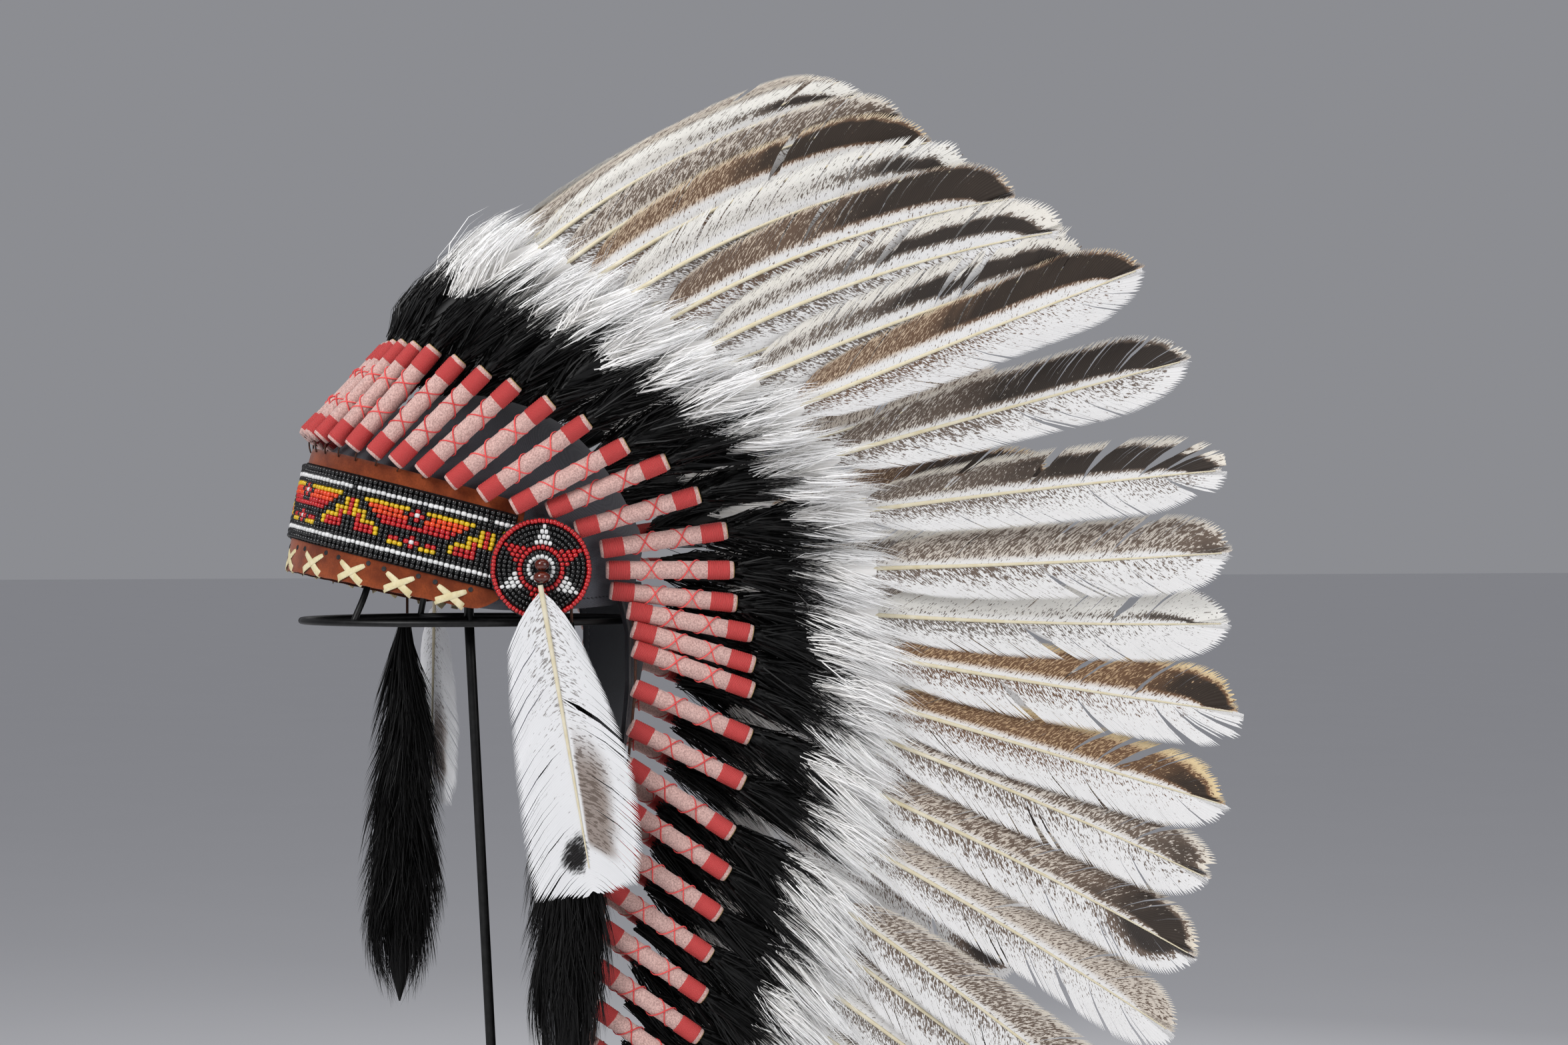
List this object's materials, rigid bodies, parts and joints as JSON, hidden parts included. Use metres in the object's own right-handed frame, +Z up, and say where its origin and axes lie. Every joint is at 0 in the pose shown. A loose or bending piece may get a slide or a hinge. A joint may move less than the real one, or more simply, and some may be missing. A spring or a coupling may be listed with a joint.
{
  "type": "feathered headdress on a wire stand",
  "caption": "Feathered headdress with a beaded brow band, temple rosettes, swept-back plumes and a feathered trailer, on a round-based wire stand.",
  "frame": {"origin": "middle of the underside of the stand's base", "axes": "+Z up; the wearer faces -Y; +X is the wearer's left"},
  "size_m": [0.389, 0.5529, 0.9791],
  "materials": {
    "cap_cloth": "charcoal woven cloth",
    "suede": "rust-brown suede",
    "seed_beads": "glossy opaque seed beads in black, red, orange, yellow and white",
    "red_glass": "dark red glass",
    "feather": "white and speckled brown plumage",
    "black_fur": "long black fur",
    "white_fur": "long white fur",
    "felt": "pinkish-beige felt",
    "red_thread": "red wound thread",
    "lace": "cream flat lace",
    "black_steel": "satin black painted steel"
  },
  "bodies": {
    "root": {"cap": "cap_cloth", "brow_band": "suede", "bead_strip": "seed_beads", "rosette_left": "seed_beads", "glass_bead_left_upper": "red_glass", "glass_bead_left_lower": "red_glass", "side_feather_left": "feather", "fur_drop_left": "black_fur", "feather_left_01": "feather", "feather_left_02": "feather", "feather_left_03": "feather", "feather_left_04": "feather", "feather_left_05": "feather", "feather_left_06": "feather", "feather_left_07": "feather", "feather_left_08": "feather", "feather_left_09": "feather", "feather_left_10": "feather", "feather_left_11": "feather", "feather_left_12": "feather", "feather_left_13": "feather", "feather_left_14": "feather", "feather_left_15": "feather", "trailer_feathers_left": "feather", "rosette_right": "seed_beads", "glass_bead_right_upper": "red_glass", "glass_bead_right_lower": "red_glass", "side_feather_right": "feather", "fur_drop_right": "black_fur", "feather_right_01": "feather", "feather_right_02": "feather", "feather_right_03": "feather", "feather_right_04": "feather", "feather_right_05": "feather", "feather_right_06": "feather", "feather_right_07": "feather", "feather_right_08": "feather", "feather_right_09": "feather", "feather_right_10": "feather", "feather_right_11": "feather", "feather_right_12": "feather", "feather_right_13": "feather", "feather_right_14": "feather", "feather_right_15": "feather", "trailer_feathers_right": "feather", "feather_centre": "feather", "trailer_strap": "cap_cloth", "stand": "black_steel"}
  },
  "joints": []
}
